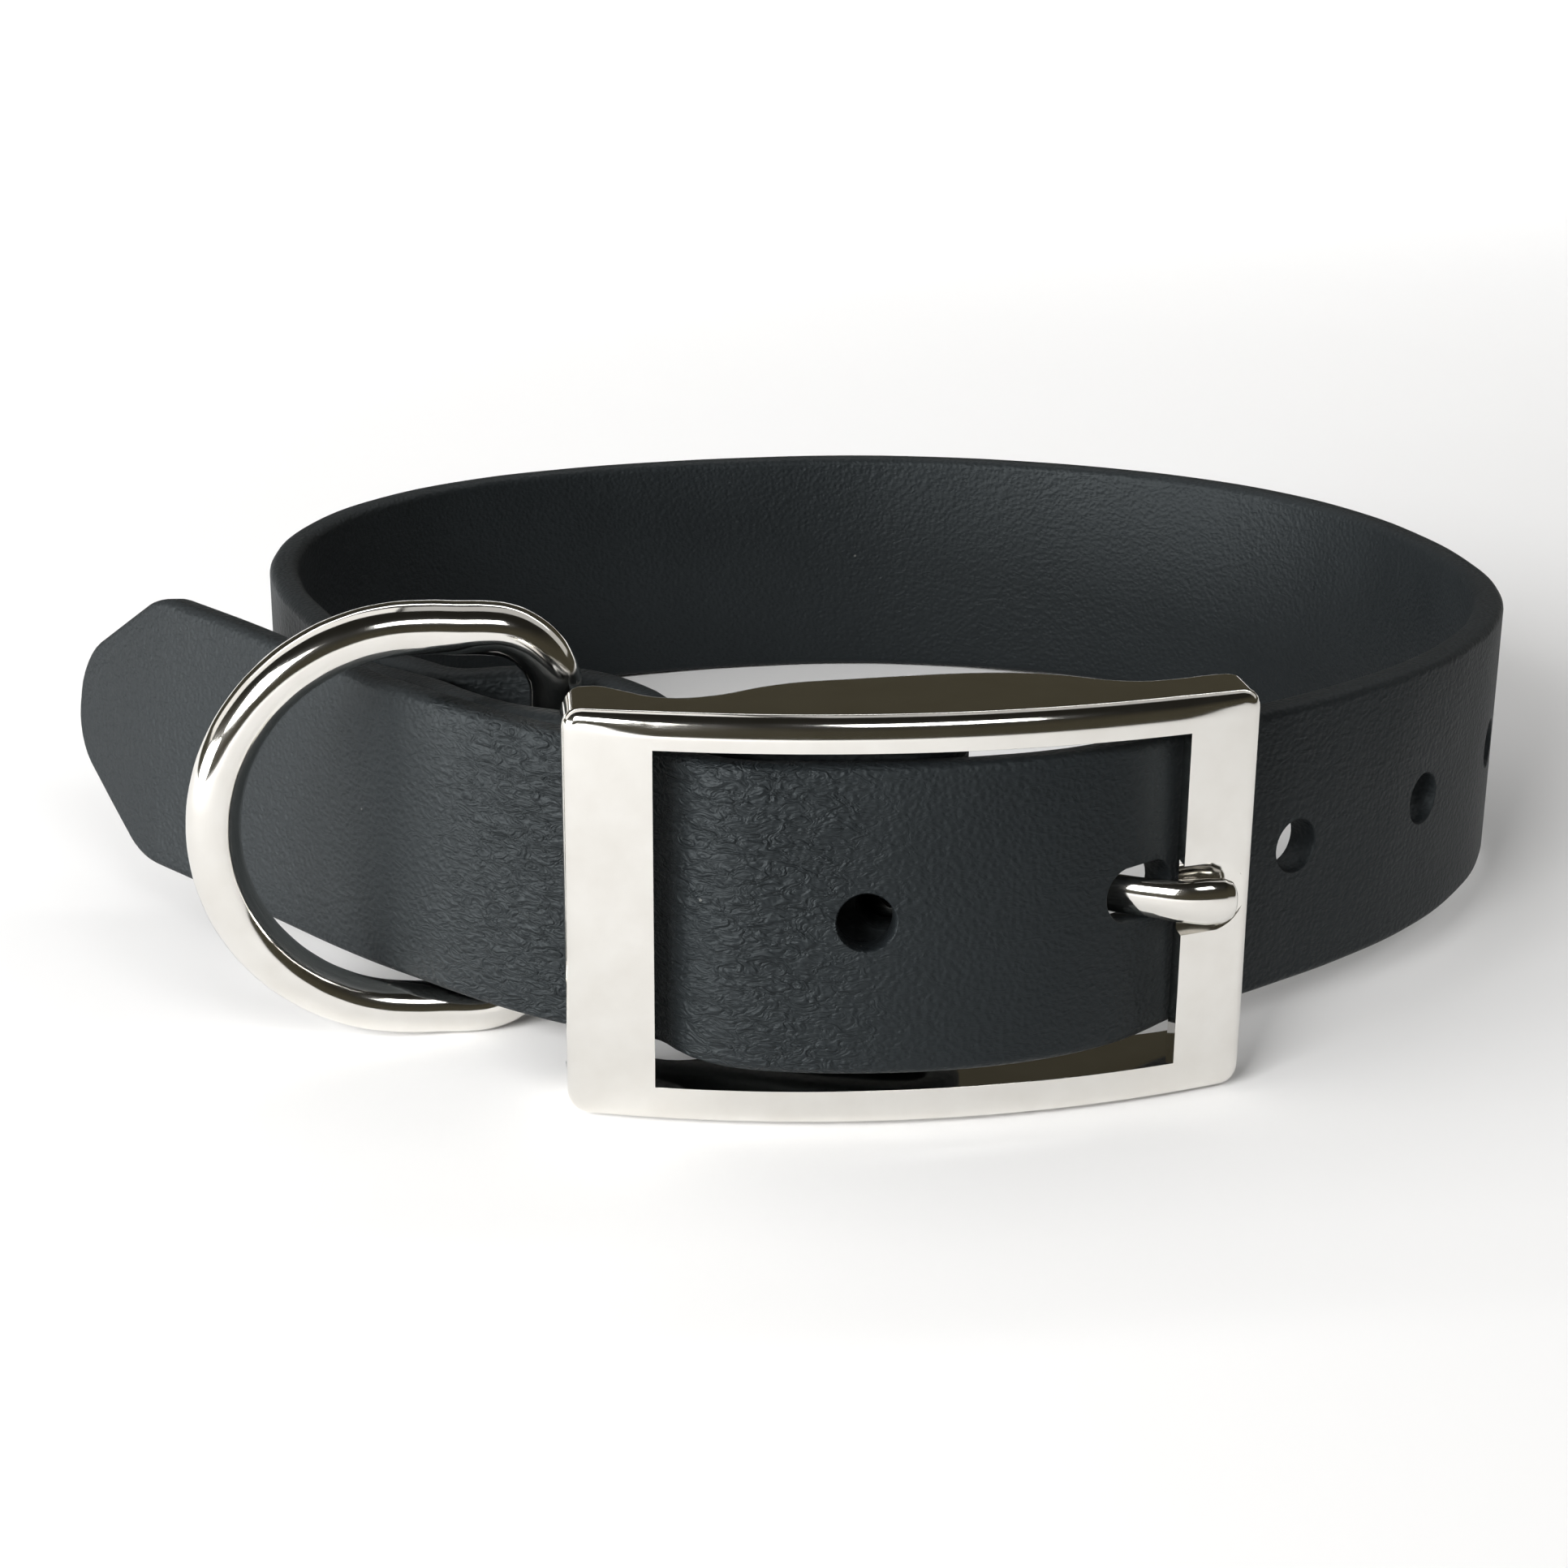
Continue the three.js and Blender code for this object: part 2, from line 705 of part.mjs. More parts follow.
// Tip the collar about the buckle's line until the buckle, the ring and the strap's
// back edge stand on the floor, then centre it over the origin.
collar.rotation.x = -tipUp;
collar.updateMatrixWorld(true);
const box = new THREE.Box3().setFromObject(collar, true);
const middle = box.getCenter(v3(0, 0, 0));
collar.position.set(-middle.x, -middle.y, -box.min.z);
collar.updateMatrixWorld(true);

export default collar;
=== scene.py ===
import math

import bpy
from mathutils import Matrix, Vector


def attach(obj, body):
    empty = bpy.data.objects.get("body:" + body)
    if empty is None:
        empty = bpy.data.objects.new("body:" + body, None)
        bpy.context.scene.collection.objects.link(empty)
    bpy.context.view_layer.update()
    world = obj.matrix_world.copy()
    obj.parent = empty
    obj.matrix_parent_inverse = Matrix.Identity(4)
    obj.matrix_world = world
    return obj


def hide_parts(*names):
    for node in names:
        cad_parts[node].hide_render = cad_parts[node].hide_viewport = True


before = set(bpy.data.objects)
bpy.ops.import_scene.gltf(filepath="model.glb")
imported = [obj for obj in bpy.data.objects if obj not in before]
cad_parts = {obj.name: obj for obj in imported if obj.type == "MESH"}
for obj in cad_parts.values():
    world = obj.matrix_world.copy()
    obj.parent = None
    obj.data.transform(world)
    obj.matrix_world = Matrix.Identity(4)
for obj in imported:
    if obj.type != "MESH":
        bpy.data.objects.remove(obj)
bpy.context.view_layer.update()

# Strap
# One length of coated webbing, 25 mm wide, cut flat to a blunt point, punched, and folded
# back at its other end. It is modelled flat, as it is cut, and then laid along its route.
strap_width = 0.025
strap_thick = 0.0028
strap_edge = 0.0008
easing = 0.00035
loop_width = 0.1194
loop_depth = 0.1116

# what the strap's route takes from the buckle and the ring
buckle_half = 0.0278
buckle_left_bar = 0.0069
window_left = -buckle_half + buckle_left_bar
buckle_cheek = 0.0076
buckle_plate = 0.0023
buckle_drop = 0.0052
bar_radius = 0.0018
bar_y = 0.0045
wire_radius = 0.00225
ring_play = 0.002
ring_x = -0.0282
ring_y = 0.0176

# The collar is tipped until its buckle, ring and back edge stand on the floor; seat takes
# a point from the buckle's own level, where the strap's lower edge is at height zero.
tip_up = math.atan(buckle_drop / (loop_depth - buckle_cheek))
buckle_front = Vector((0.0032509, -0.0529041, 0.005568))
seat = Matrix.Translation(buckle_front) @ Matrix.Rotation(-tip_up, 4, "X")

leg_room = buckle_drop * (loop_depth - ring_y) / (loop_depth - buckle_cheek)
climb = max(2 * wire_radius + 2 * easing - leg_room, 0)
free_reach = 0.0442
free_flare = 0.056
free_lean = 0.004
tip_lift = 0.0012
free_rise = climb + tip_lift
window_lean = 0.003
bar_clear = 0.00085
bulge = 2 * strap_thick + bar_radius + easing + window_lean / 2 + bar_clear - bar_y
tuck_gap = 0.002
tuck = buckle_plate + tuck_gap

# reach, flare, lean and rise of the free end, from its tip to the buckle
free_face = [
    (1.0, 1.0, 1.0, 1.0),
    (0.81, 0.793, 0.95, 0.94),
    (0.672, 0.654, 0.8, 0.87),
    (0.52, 0.495, 0.6, 0.75),
    (0.373, 0.35, 0.4, 0.62),
    (0.253, 0.254, 0.3, 0.5),
    (0.136, 0.171, 0.2, 0.31),
    (0.018, 0.105, 0.125, 0.125),
]

# x over half the buckle, how far out (bulge) or in (tuck), and lean, across the buckle
window_face = [
    (-0.878, 0, 0.884, 0.07),
    (-0.741, 0, 0.419, 0.07),
    (-0.64, 0.339, 0, 0.27),
    (-0.532, 0.679, 0, 0.47),
    (-0.388, 0.857, 0, 0.73),
    (-0.18, 0.982, 0, 0.93),
    (0.047, 1, 0, 1),
    (0.237, 0.911, 0, 0.9),
    (0.396, 0.75, 0, 0.73),
    (0.522, 0.536, 0, 0.6),
    (0.655, 0.196, 0, 0.4),
    (0.788, 0, 0.372, 0.27),
    (0.953, 0, 1, 0.17),
]

# the rest of the loop over its width and depth
loop_face = [
    (0.283, 0.075), (0.339, 0.113), (0.405, 0.168), (0.465, 0.237), (0.512, 0.315),
    (0.541, 0.4), (0.55, 0.491), (0.542, 0.593), (0.516, 0.694), (0.47, 0.784),
    (0.406, 0.858), (0.332, 0.914), (0.252, 0.956), (0.169, 0.985), (0.082, 1.0),
    (-0.008, 0.998), (-0.099, 0.985), (-0.193, 0.959), (-0.289, 0.912), (-0.371, 0.836),
    (-0.426, 0.736), (-0.45, 0.62), (-0.443, 0.511), (-0.418, 0.41),
]

# the fold's middle line and how far its layers part: out past the ring, then in to the bar
fold_outer = [(1.0, 1.0, 0.0), (0.756, 0.707, 0.0), (0.512, 0.427, 0.03), (0.267, 0.227, 0.65)]
fold_inner = [
    (1.0, 1.0, 1.0), (0.83, 0.718, 0.7), (0.652, 0.397, 0.04), (0.482, 0.221, 0.0),
    (0.312, 0.061, 0.02),
]


def lerp(a, b, share):
    return a + (b - a) * share


def beside(rows, shift):
    """The rows moved to the left of their own run by shift(row)."""
    moved = []
    for i, row in enumerate(rows):
        before = Vector(rows[max(i - 1, 0)][:2])
        after = Vector(rows[min(i + 1, len(rows) - 1)][:2])
        run = (after - before).normalized()
        out = shift(row)
        moved.append((row[0] - run.y * out, row[1] + run.x * out, *row[2:]))
    return moved


def layer_half(open_share):
    """Half the distance between the middles of the fold's two layers."""
    closed = strap_thick / 2 + easing
    round_ring = wire_radius + ring_play + strap_thick / 2
    return lerp(closed, round_ring, open_share)


face = [
    (-buckle_half - reach * free_reach, flare * free_flare, lean * free_lean, rise * free_rise)
    for reach, flare, lean, rise in free_face
]
past_rivet = Vector(face[3][:2])
along_free = (past_rivet - Vector(face[4][:2])).normalized()
rivet_head_thick = 0.0006
fold_clear = 0.0004
from_free = strap_thick + fold_clear + rivet_head_thick + easing + strap_thick / 2 + layer_half(0)
fold_end = (past_rivet.x + along_free.y * from_free, past_rivet.y - along_free.x * from_free)

face += [
    (x * buckle_half, inward * tuck - out * bulge, lean * window_lean, 0.0)
    for x, out, inward, lean in window_face
]
face += [(x * loop_width, y * loop_depth, 0.0, 0.0) for x, y in loop_face]
fold = [(lerp(ring_x, fold_end[0], x), lerp(ring_y, fold_end[1], y), o) for x, y, o in fold_outer]
fold += [(lerp(0, ring_x, x), lerp(bar_y, ring_y, y), o) for x, y, o in fold_inner]


def fold_layer(side):
    """One layer of the fold, to the left or right of its middle line."""
    rows = beside(fold, lambda row: side * layer_half(row[2]))
    return [(x, y, 0.0, opened * climb) for x, y, opened in rows]


turn_radius = bar_radius + easing + strap_thick / 2
turn_steps = 10
turn = []
for i in range(turn_steps + 1):
    angle = math.pi / 2 - math.pi * i / turn_steps
    turn.append((turn_radius * math.cos(angle), bar_y + turn_radius * math.sin(angle), 0.0, 0.0))
outside = beside(face, lambda row: strap_thick / 2)
route = outside + fold_layer(1) + turn + fold_layer(-1)[::-1]

curve = bpy.data.curves.new("strap_route", "CURVE")
curve.dimensions = "3D"
curve.twist_mode = "Z_UP"
curve.resolution_u = 16
line = curve.splines.new("BEZIER")
line.bezier_points.add(len(route) - 1)
for point, (x, y, lean, rise) in zip(line.bezier_points, route):
    point.co = (x, y, strap_width / 2 + rise)
    point.tilt = -math.atan(lean / strap_width)
    point.handle_left_type = "AUTO"
    point.handle_right_type = "AUTO"
route_object = bpy.data.objects.new("strap_route", curve)
bpy.context.scene.collection.objects.link(route_object)
bpy.context.view_layer.update()

# the route in short steps: the length walked from the tip, and the x its outer face
# reaches, at each
steps = 16
walked = [(0.0, route[0][0])]
for a, b in zip(line.bezier_points, line.bezier_points[1:]):
    last = a.co.copy()
    for i in range(1, steps + 1):
        t = i / steps
        s = 1 - t
        from_a = s**3 * a.co + 3 * s * s * t * a.handle_right
        here = from_a + 3 * s * t * t * b.handle_left + t**3 * b.co
        step = here - last
        outer_x = here.x + step.normalized().y * strap_thick / 2
        walked.append((walked[-1][0] + step.length, outer_x))
        last = here
strap_length = walked[-1][0]


def along_at(x):
    """Length from the tip at which the strap's outer face first passes x."""
    for (length, before), (after_length, after) in zip(walked, walked[1:]):
        if before <= x <= after:
            return lerp(length, after_length, (x - before) / (after - before))
    return strap_length


def clear_selection():
    if bpy.context.object and bpy.context.object.mode == "EDIT":
        bpy.ops.object.mode_set(mode="OBJECT")
    bpy.ops.object.select_all(action="DESELECT")


def start_piece(add, stretch=(1, 1, 1), centre=(0, 0, 0), **settings):
    """Adds a primitive with nothing else selected, opens it in edit mode and sizes it."""
    clear_selection()
    add(**settings)
    piece = bpy.context.object
    bpy.ops.object.transform_apply(location=True, rotation=True, scale=True)
    bpy.ops.object.mode_set(mode="EDIT")
    bpy.ops.mesh.select_all(action="SELECT")
    bpy.ops.transform.resize(value=stretch)
    bpy.ops.transform.translate(value=centre)
    return piece


# how near counts as level with a plane, and how nearly along an axis counts as along it
near = 1e-5
touching = 1e-6
aligned = 0.9


def pick(piece, test, kind="VERT"):
    """Selects the vertices, edges or faces of the open mesh whose middle passes the test."""
    bpy.ops.mesh.select_all(action="DESELECT")
    bpy.ops.mesh.select_mode(type=kind)
    bpy.ops.object.mode_set(mode="OBJECT")
    mesh = piece.data
    if kind == "VERT":
        for vertex in mesh.vertices:
            vertex.select = test(vertex.co)
    elif kind == "EDGE":
        for edge in mesh.edges:
            a, b = (mesh.vertices[i].co for i in edge.vertices)
            edge.select = test((a + b) / 2, (b - a).normalized())
    else:
        for polygon in mesh.polygons:
            polygon.select = test(polygon.center, polygon.normal)
    bpy.ops.object.mode_set(mode="EDIT")


def apply_modifier(piece, kind, **settings):
    """Shapes the piece with one of Blender's modifiers, for good."""
    if piece.mode == "EDIT":
        bpy.ops.object.mode_set(mode="OBJECT")
    bpy.context.view_layer.objects.active = piece
    modifier = piece.modifiers.new("shaping", kind)
    for name, value in settings.items():
        setattr(modifier, name, value)
    bpy.ops.object.modifier_apply(modifier=modifier.name)


def cutter(radius, depth, centre, spread=0.0, flare=0.0003, sides=32):
    """A round punch along Y, flared at both faces of what it cuts, and drawn out along X."""
    rim = flare / 3
    run_out = 20
    # the share of the flare that each ring has opened by, and its height in rims
    rings = ((0.25, 1.5), (0.75, 1.5), (1.3, 1.5), (1.3, run_out))
    tool = start_piece(
        bpy.ops.mesh.primitive_cylinder_add, vertices=sides, radius=radius,
        depth=depth - 4 * rim, rotation=(math.pi / 2, 0, 0),
    )
    for side in (-1, 1):
        pick(tool, lambda centre, normal: normal.y * side > aligned, "FACE")
        grown = radius
        for share, rise in rings:
            wider = radius + share * flare
            bpy.ops.mesh.extrude_region_move(
                TRANSFORM_OT_translate={"value": (0, side * rise * rim, 0)}
            )
            bpy.ops.transform.resize(value=(wider / grown, 1, wider / grown))
            grown = wider
    for side in (-1, 1):
        pick(tool, lambda co: co.x * side > radius / 100)
        bpy.ops.transform.translate(value=(side * spread, 0, 0))
    bpy.ops.mesh.select_all(action="SELECT")
    bpy.ops.transform.translate(value=centre)
    bpy.ops.object.mode_set(mode="OBJECT")
    return tool


def cut(piece, tools):
    """Takes the joined tools out of the piece, and then throws them away."""
    clear_selection()
    for tool in tools:
        tool.select_set(True)
    bpy.context.view_layer.objects.active = tools[0]
    bpy.ops.object.join()
    joined = bpy.context.object
    clear_selection()
    apply_modifier(piece, "BOOLEAN", operation="DIFFERENCE", object=joined, solver="EXACT")
    bpy.data.objects.remove(joined)


def settle(piece, name, place, smooth=35):
    """Puts the finished mesh in its place in the frame and smooths all but its hard edges."""
    clear_selection()
    piece.data.transform(place)
    piece.name = name
    piece.data.name = name
    piece.select_set(True)
    bpy.context.view_layer.objects.active = piece
    bpy.ops.object.shade_smooth_by_angle(angle=math.radians(smooth))
    return piece


# flat strap: a rectangle, its end drawn in to the blunt point, given its thickness
tip_length = 0.0129
tip_end = 0.337 * strap_width / 2
tip_shoulder = 0.0022
tip_corner = 0.0034
strap = start_piece(
    bpy.ops.mesh.primitive_plane_add, (strap_length - tip_length, 1, strap_width),
    ((strap_length + tip_length) / 2, 0, 0), size=1, rotation=(math.pi / 2, 0, 0),
)
pick(
    strap,
    lambda centre, run: abs(centre.x - tip_length) < near and abs(run.z) > aligned,
    "EDGE",
)
bpy.ops.mesh.extrude_region_move(TRANSFORM_OT_translate={"value": (-tip_length, 0, 0)})
bpy.ops.transform.resize(value=(1, 1, tip_end / (strap_width / 2)))
pick(strap, lambda co: abs(co.x - tip_length) < near)
bpy.ops.mesh.bevel(offset=tip_shoulder, segments=5, affect="VERTICES")
pick(strap, lambda co: co.x < near)
bpy.ops.mesh.bevel(offset=tip_corner, segments=6, affect="VERTICES")
bpy.ops.mesh.select_all(action="SELECT")
bpy.ops.mesh.dissolve_limited(angle_limit=math.radians(1))
bpy.ops.mesh.select_all(action="SELECT")
bpy.ops.transform.translate(value=(0, -strap_thick / 2, 0))
bpy.ops.mesh.extrude_region_move(TRANSFORM_OT_translate={"value": (0, strap_thick, 0)})
bpy.ops.mesh.select_all(action="SELECT")
bpy.ops.mesh.normals_make_consistent(inside=False)
pick(strap, lambda centre, run: abs(abs(centre.y) - strap_thick / 2) < touching, "EDGE")
bpy.ops.mesh.bevel(offset=strap_edge, segments=4, affect="EDGES")

# its punched holes, the tongue's stretched one, the rivets' and the slot in the fold
hole_radius = 0.0023
hole_stretch = 0.0024
holes = [
    (along_at(-0.165 * buckle_half), 0.0),
    (along_at(0.665 * buckle_half), hole_stretch / 2),
    (along_at(0.286 * loop_width), 0.0),
    (along_at(0.411 * loop_width), 0.0),
    (along_at(0.508 * loop_width), 0.0),
]
punches = [cutter(hole_radius, strap_thick, (at, 0, 0), spread) for at, spread in holes]
rivet_shank = 0.002
# rows of the fold, counted from its end, that the two rivets go through
rivet_rows = (1, 7)
back_layer = len(outside)
turn_begin = back_layer + len(fold)
turn_middle = walked[(turn_begin + turn_steps // 2) * steps][0]
route_end = len(route) - 1
for row in rivet_rows:
    for station in (back_layer + row, route_end - row):
        at = walked[station * steps][0]
        punches.append(cutter(rivet_shank + easing, strap_thick, (at, 0, 0)))
slot_half = 0.0098
slot_radius = 0.0021
slot_drop = 0.0005
slot_centre = (turn_middle, 0, -slot_drop)
punches.append(cutter(slot_radius, strap_thick, slot_centre, slot_half - slot_radius))
cut(strap, punches)

# cuts across it, closer together where it turns round the bar, let it bend smoothly
bpy.context.view_layer.objects.active = strap
bpy.ops.object.mode_set(mode="EDIT")
wide_step = 0.0014
fine_step = 0.0005
turn_reach = 0.011
place = wide_step
while place < strap_length:
    bpy.ops.mesh.select_all(action="SELECT")
    bpy.ops.mesh.bisect(plane_co=(place, 0, 0), plane_no=(1, 0, 0))
    place += fine_step if abs(place - turn_middle) < turn_reach else wide_step
bpy.ops.object.mode_set(mode="OBJECT")

# where each point was on the flat strap, for the grain
flat_place = strap.data.attributes.new("flat_place", "FLOAT_VECTOR", "POINT")
for item, vertex in zip(flat_place.data, strap.data.vertices):
    item.vector = vertex.co
apply_modifier(strap, "CURVE", object=route_object, deform_axis="POS_X")
settle(strap, "strap_coated", seat)
bpy.data.objects.remove(route_object)


class Wire:
    """A shader value that can be used in sums; each sum adds its own Math node."""

    def __init__(self, finish, socket):
        self.finish = finish
        self.socket = socket

    def __add__(self, other):
        return self.finish.maths("ADD", self, other)

    __radd__ = __add__

    def __sub__(self, other):
        return self.finish.maths("SUBTRACT", self, other)

    def __rsub__(self, other):
        return self.finish.maths("SUBTRACT", other, self)

    def __mul__(self, other):
        return self.finish.maths("MULTIPLY", self, other)

    __rmul__ = __mul__

    def __abs__(self):
        return self.finish.maths("ABSOLUTE", self)


class Finish:
    """One material: its Principled shader and whatever nodes its pattern needs."""

    def __init__(self, name, **sockets):
        self.material = bpy.data.materials.new(name)
        self.material.use_nodes = True
        self.tree = self.material.node_tree
        self.shader = self.tree.nodes["Principled BSDF"]
        self.set(self.shader, sockets)

    def set(self, node, inputs):
        for key, value in inputs.items():
            if isinstance(key, str):
                key = key.replace("_", " ")
            if isinstance(value, Wire):
                self.tree.links.new(value.socket, node.inputs[key])
            else:
                node.inputs[key].default_value = value

    def node(self, kind, settings, inputs):
        """Adds a node and gives its outputs, by name."""
        node = self.tree.nodes.new(kind)
        for name, value in settings.items():
            setattr(node, name, value)
        self.set(node, inputs)
        return {output.name: Wire(self, output) for output in node.outputs if output.enabled}

    def maths(self, operation, a, b=0.0):
        return self.node("ShaderNodeMath", {"operation": operation}, {0: a, 1: b})["Value"]

    def paint(self, **sockets):
        self.set(self.shader, sockets)

    def dress(self, piece):
        piece.data.materials.clear()
        piece.data.materials.append(self.material)


# matt black coating: creased in short waves along it where it has been buckled and bent,
# finely pebbled and slowly uneven elsewhere, with a few specks of dust
coating_dark = (0.0052, 0.0066, 0.0076, 1)
coating_light = (0.0085, 0.0105, 0.0118, 1)
dust_colour = (0.16, 0.16, 0.15, 1)
speck_size = 0.035
speck_rarity = 0.9
crease_height = 2.2
pebble_height = 0.22
grain_depth = 0.00042
coating_roughness = 0.5
coating = Finish(
    "coated_strap", Specular_IOR_Level=0.27, Specular_Tint=(0.88, 0.97, 1.0, 1), IOR=1.5,
)
spot = coating.node("ShaderNodeAttribute", {"attribute_name": "flat_place"}, {})["Vector"]
along = coating.node("ShaderNodeSeparateXYZ", {}, {"Vector": spot})["X"]
bend_middle = along_at(window_left)
bend_reach = 0.024
bent = coating.node(
    "ShaderNodeMapRange", {"interpolation_type": "SMOOTHSTEP"},
    {"Value": abs(along - bend_middle), "From Min": bend_reach * 0.4, "From Max": bend_reach,
     "To Min": 1.0, "To Max": 0.14},
)["Result"]
drawn = coating.node(
    "ShaderNodeMapping", {}, {"Vector": spot, "Scale": (1000, 1000, 2100)}
)["Vector"]
crease = coating.node(
    "ShaderNodeTexNoise", {},
    {"Vector": drawn, "Scale": 0.56, "Detail": 2.5, "Roughness": 0.5, "Distortion": 1.3},
)["Fac"]
pebble = coating.node(
    "ShaderNodeTexVoronoi", {"feature": "SMOOTH_F1"},
    {"Vector": spot, "Scale": 2200.0, "Smoothness": 0.7},
)["Distance"]
cloud = coating.node(
    "ShaderNodeTexNoise", {}, {"Vector": spot, "Scale": 70.0, "Detail": 2.0, "Roughness": 0.5}
)["Fac"]
dust = coating.node("ShaderNodeTexVoronoi", {}, {"Vector": spot, "Scale": 260.0})
chosen = coating.node("ShaderNodeSeparateColor", {}, {"Color": dust["Color"]})["Red"]
small = coating.maths("LESS_THAN", dust["Distance"], speck_size)
speck = small * coating.maths("GREATER_THAN", chosen, speck_rarity)
grain = abs(crease - 0.5) * crease_height * bent + pebble * pebble_height
bump = coating.node(
    "ShaderNodeBump", {}, {"Strength": 0.9, "Distance": grain_depth, "Height": grain}
)["Normal"]
tone = coating.node("ShaderNodeValToRGB", {}, {"Fac": cloud * 0.7 + grain * 0.3})["Color"]
ramp = tone.socket.node.color_ramp
ramp.elements[0].position = 0.2
ramp.elements[0].color = coating_dark
ramp.elements[1].position = 0.8
ramp.elements[1].color = coating_light
dusty = coating.node(
    "ShaderNodeMix", {"data_type": "RGBA"}, {0: speck * 0.5, 6: tone, 7: dust_colour}
)["Result"]
roughness = coating_roughness + cloud * 0.16 - grain * 0.06
coating.paint(Base_Color=dusty, Roughness=roughness, Normal=bump)
coating.dress(strap)
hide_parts("strap")
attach(strap, "collar")

# Buckle frame
# One bright-plated casting: a bowed plate with a window, and a cheek rail above and below
# it whose back edge dips either side of the stretch that carries the centre bar.
buckle_bow = 0.0046
buckle_right_bar = 0.0062
buckle_rail = 0.0029
buckle_lower_rail = 0.003
headroom = 0.0011
outer_edge = 0.0009
outline_corner = 0.0016
inner_edge = 0.00035
window_right = buckle_half - buckle_right_bar
window_low = -buckle_drop + buckle_lower_rail
window_high = strap_width + headroom
buckle_top = window_high + buckle_rail
buckle_middle = (buckle_top - buckle_drop) / 2

# share of half the width, and share of the cheek's depth, of the rails' back edge
rail_back = [
    (-1.0, 0.58), (-0.95, 0.88), (-0.88, 0.9), (-0.81, 0.68), (-0.74, 0.47), (-0.655, 0.39),
    (-0.54, 0.48), (-0.42, 0.71), (-0.31, 0.84), (-0.14, 0.91), (0.14, 1.0), (0.32, 0.97),
    (0.46, 0.83), (0.57, 0.62), (0.67, 0.53), (0.78, 0.58), (0.9, 0.7), (0.97, 0.7), (1.0, 0.6),
]


def bow_at(x):
    """How far the plate stands out at x; outwards is negative."""
    return -buckle_bow * (1 - (x / buckle_half) ** 2)


def rail_depth(x):
    """The rails' back edge at x, smoothed between the rows of its table."""
    share = max(-1.0, min(1.0, x / buckle_half))
    rows = rail_back
    i = max(k for k in range(len(rows) - 1) if rows[k][0] <= share)
    a, b = rows[i], rows[i + 1]
    before = rows[max(i - 1, 0)]
    after = rows[min(i + 2, len(rows) - 1)]
    span = b[0] - a[0]
    rise_a = (b[1] - before[1]) / (b[0] - before[0]) * span
    rise_b = (after[1] - a[1]) / (after[0] - a[0]) * span
    t = (share - a[0]) / span
    curve = (2 * t**3 - 3 * t**2 + 1) * a[1] + (t**3 - 2 * t**2 + t) * rise_a
    curve += (3 * t**2 - 2 * t**3) * b[1] + (t**3 - t**2) * rise_b
    return curve * buckle_cheek


frame_piece = start_piece(
    bpy.ops.mesh.primitive_cube_add, (2 * buckle_half, buckle_plate, buckle_top + buckle_drop),
    (0, buckle_plate / 2, buckle_middle), size=1,
)
for x in (window_left, window_right):
    bpy.ops.mesh.select_all(action="SELECT")
    bpy.ops.mesh.bisect(plane_co=(x, 0, 0), plane_no=(1, 0, 0))
for z in (window_low, window_high):
    bpy.ops.mesh.select_all(action="SELECT")
    bpy.ops.mesh.bisect(plane_co=(0, 0, z), plane_no=(0, 0, 1))


def in_window(centre):
    return window_left < centre.x < window_right and window_low < centre.z < window_high


pick(frame_piece, lambda centre, normal: abs(normal.y) > aligned and in_window(centre), "FACE")
bpy.ops.mesh.delete(type="FACE")
pick(
    frame_piece,
    lambda centre, run: (
        min(abs(centre.x - window_left), abs(centre.x - window_right)) < touching
        and window_low < centre.z < window_high
        or min(abs(centre.z - window_low), abs(centre.z - window_high)) < touching
        and window_left < centre.x < window_right
    ),
    "EDGE",
)
bpy.ops.mesh.bridge_edge_loops()
pick(
    frame_piece,
    lambda centre, normal: normal.y > aligned and not window_low < centre.z < window_high,
    "FACE",
)
bpy.ops.mesh.extrude_region_move(
    TRANSFORM_OT_translate={"value": (0, buckle_cheek - buckle_plate, 0)}
)


def from_side(centre):
    """How far a point lies inside the casting's outline."""
    return min(buckle_half - abs(centre.x), buckle_top - centre.z, centre.z + buckle_drop)


def on_level(centre):
    """True level with the casting's front, the plate's back or the rails' back edge."""
    return min(abs(centre.y - level) for level in (0, buckle_plate, buckle_cheek)) < touching


bpy.ops.mesh.select_all(action="SELECT")
bpy.ops.mesh.dissolve_limited(angle_limit=math.radians(1))
pick(
    frame_piece,
    lambda centre, run: abs(run.y) > aligned
    and buckle_half - abs(centre.x) < touching
    and min(buckle_top - centre.z, centre.z + buckle_drop) < touching,
    "EDGE",
)
bpy.ops.mesh.bevel(offset=outline_corner, segments=5, affect="EDGES")
side_reach = outline_corner / 3
pick(
    frame_piece,
    lambda centre, run: abs(run.y) < 1 - aligned and on_level(centre)
    and from_side(centre) < side_reach,
    "EDGE",
)
bpy.ops.mesh.bevel(offset=outer_edge, segments=5, affect="EDGES", clamp_overlap=True)
pick(
    frame_piece,
    lambda centre, run: (
        min(abs(centre.x - window_left), abs(centre.x - window_right)) < touching
        and window_low - touching < centre.z < window_high + touching
        or min(abs(centre.z - window_low), abs(centre.z - window_high)) < touching
        and abs(centre.x) < buckle_half - outline_corner
    )
    and (abs(centre.y) < touching or abs(centre.y - buckle_cheek) < touching),
    "EDGE",
)
bpy.ops.mesh.bevel(offset=inner_edge, segments=3, affect="EDGES", clamp_overlap=True)

# the front of the top rail is rounded back, from the window's edge up to its outer edge
level_strip = 0.0009
rounding_low = window_high + level_strip
rounding_depth = 0.00055
rounding_power = 1.6
rounding_rows = 5
rounding_height = buckle_top - rounding_low
for i in range(rounding_rows):
    bpy.ops.mesh.select_all(action="SELECT")
    z = rounding_low + (rounding_height - outer_edge) * i / (rounding_rows - 1)
    bpy.ops.mesh.bisect(plane_co=(0, 0, z), plane_no=(0, 0, 1))

